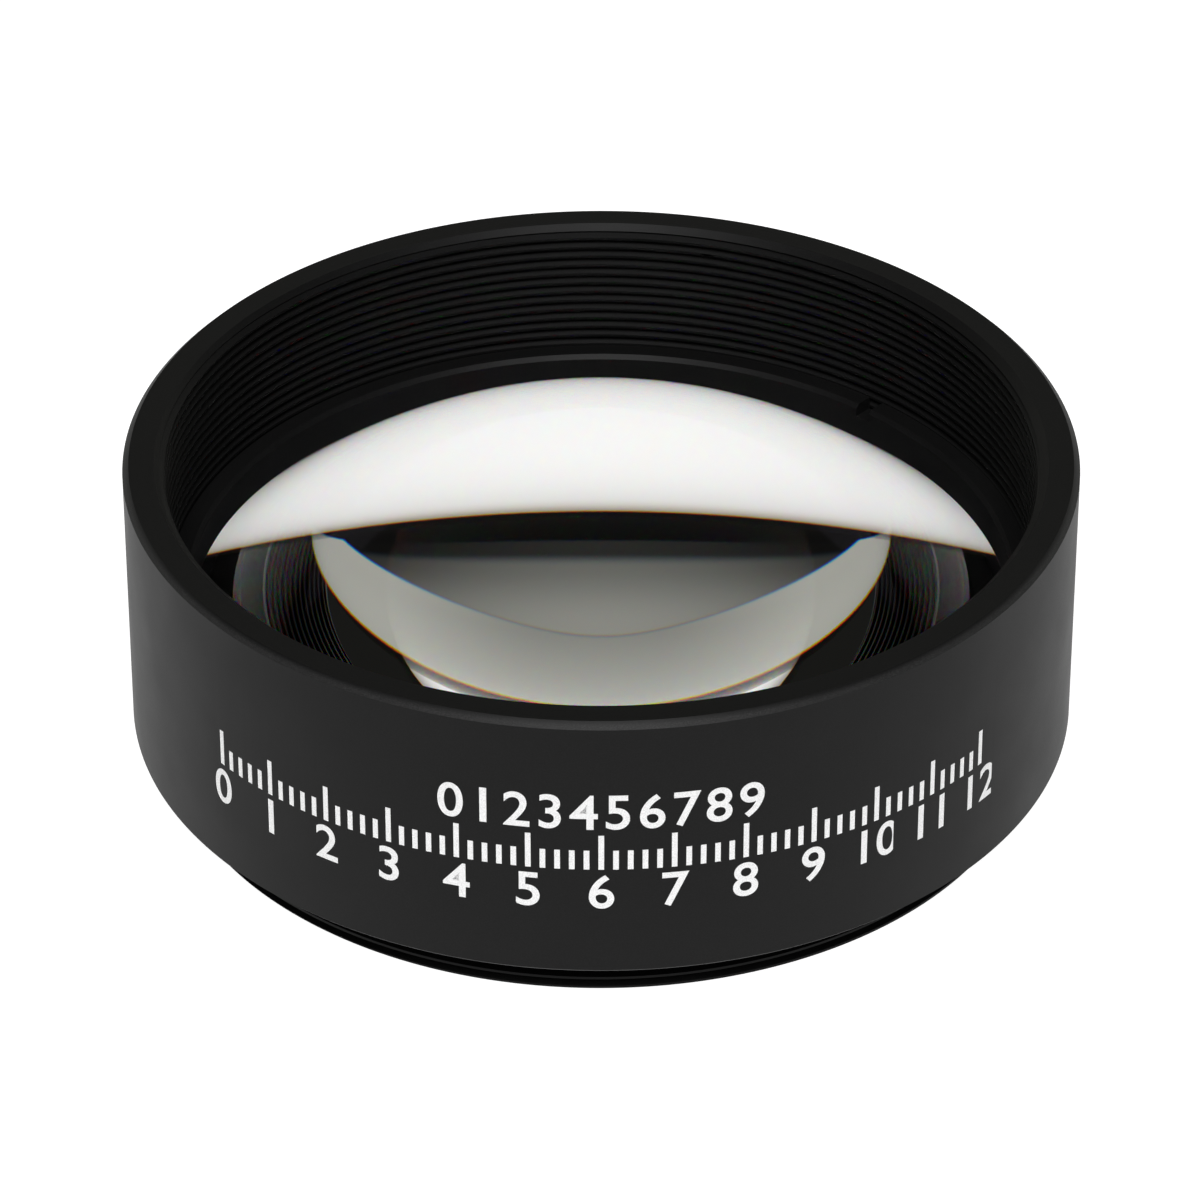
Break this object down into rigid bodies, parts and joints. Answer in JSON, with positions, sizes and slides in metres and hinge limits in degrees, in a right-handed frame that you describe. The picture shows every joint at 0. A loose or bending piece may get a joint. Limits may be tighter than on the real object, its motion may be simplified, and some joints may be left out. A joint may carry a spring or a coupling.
{
  "type": "mounted aspheric lens",
  "caption": "Round plano-convex aspheric lens held by a slotted retaining ring in a short black threaded cell, thread inside one end and outside the other.",
  "frame": {"origin": "centre of the bottom face of the cell's threaded shank, on the optical axis", "axes": "+Z along the optical axis, towards the lens's convex side and the cell's internally threaded mouth; the retaining ring's two slots lie at 48.4 and 228.4 degrees from +X towards +Y"},
  "size_m": [0.0558, 0.0558, 0.0198],
  "materials": {
    "cell": "black anodised, satin",
    "ring": "black anodised, satin",
    "lens": "polished and anti-reflection coated"
  },
  "bodies": {
    "root": {"lens_cell": "cell", "aspheric_lens": "lens", "retaining_ring": "ring"}
  },
  "joints": []
}
